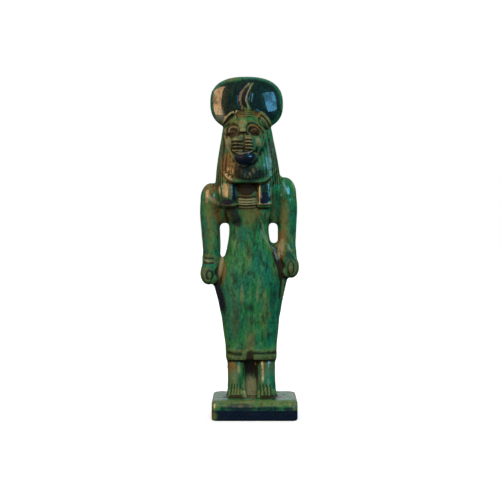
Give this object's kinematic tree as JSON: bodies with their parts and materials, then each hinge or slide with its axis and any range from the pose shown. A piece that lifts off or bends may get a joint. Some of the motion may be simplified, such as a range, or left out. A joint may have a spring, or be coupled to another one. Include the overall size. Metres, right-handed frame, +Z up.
{
  "type": "lion-headed goddess statuette",
  "caption": "Standing lion-headed goddess in glazed ceramic, with a disc and an upright cobra on her head, arms at her sides, on a low plinth; stands on a shelf as a display figure.",
  "frame": {"origin": "centre of the plinth's flat underside, on the surface it stands on", "axes": "+Z up, the figure faces -Y, its left hand is on +X (the viewer's right)"},
  "size_m": [0.0526, 0.038, 0.18],
  "materials": {
    "green_glaze": "thick glossy green and teal glaze, thin and olive-brown on the raised edges, pooled dark blue in the hollows"
  },
  "bodies": {
    "root": {"lion_headed_figure": "green_glaze"}
  },
  "joints": []
}
